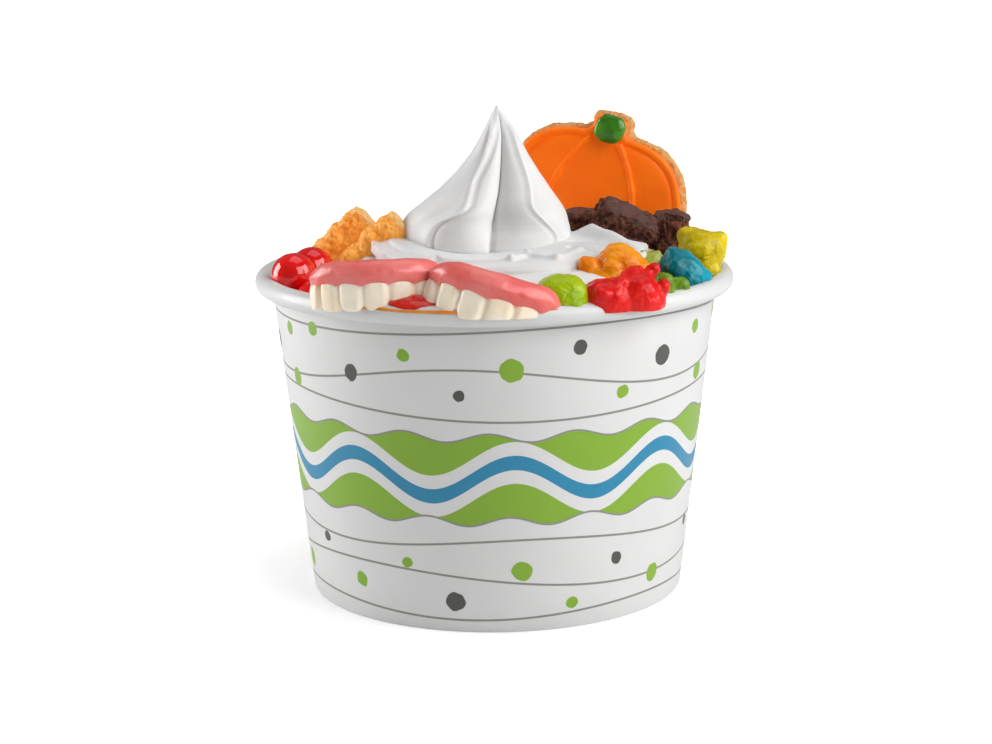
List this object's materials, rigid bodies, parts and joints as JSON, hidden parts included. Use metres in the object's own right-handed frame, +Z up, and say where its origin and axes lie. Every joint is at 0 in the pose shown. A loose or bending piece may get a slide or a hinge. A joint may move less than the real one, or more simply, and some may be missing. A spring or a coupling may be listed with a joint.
{
  "type": "frozen yogurt cup",
  "caption": "Paper cup of swirled soft-serve frozen yogurt with a pumpkin biscuit, gummy bears, sweet dentures, juice pearls, brownie and toffee on top.",
  "frame": {"origin": "centre of the cup's foot ring, on the surface that the cup stands on", "axes": "+Z up the cup's axis, -Y towards the side with the sweet dentures, +X to the side with the gummy bears"},
  "size_m": [0.1, 0.1005, 0.1013],
  "materials": {
    "paper": "satin coated white paper with a printed green band and dots",
    "yogurt": "smooth soft-serve frozen yogurt, stands in for a matte food surface",
    "biscuit": "baked shortcake, dry and crumbly",
    "icing": "orange royal icing, satin",
    "green_icing": "green icing, glossy",
    "red_gummy": "translucent red gelatine sweet",
    "lime_gummy": "translucent lime gelatine sweet",
    "orange_gummy": "translucent orange gelatine sweet",
    "blue_gummy": "translucent blue gelatine sweet",
    "yellow_gummy": "translucent yellow gelatine sweet",
    "olive_gummy": "translucent pale green gelatine sweet",
    "green_gummy": "translucent dark green gelatine sweet",
    "gum": "glossy pink gelatine sweet",
    "teeth": "glossy cream foam sweet",
    "red_pearl": "wet glossy red ball of juice",
    "red_jelly": "wet glossy red jelly",
    "brownie": "dark baked chocolate cake, rough",
    "toffee": "golden bubbly toffee with crumbs"
  },
  "bodies": {
    "root": {"cup_wall": "paper", "cup_base": "paper", "frozen_yogurt": "yogurt", "biscuit": "biscuit", "biscuit_icing": "icing", "stem_icing": "green_icing", "bear_red": "red_gummy", "bear_lime": "lime_gummy", "bear_orange": "orange_gummy", "bear_blue": "blue_gummy", "bear_yellow": "yellow_gummy", "bear_olive": "olive_gummy", "bear_green": "green_gummy", "denture_left_gum": "gum", "denture_left_teeth": "teeth", "denture_right_gum": "gum", "denture_right_teeth": "teeth", "pearl_front": "red_pearl", "pearl_back": "red_pearl", "pearl_low": "red_pearl", "brownie_top": "brownie", "brownie_left": "brownie", "brownie_right": "brownie", "toffee_back": "toffee", "toffee_front": "toffee", "red_jelly": "red_jelly"}
  },
  "joints": []
}
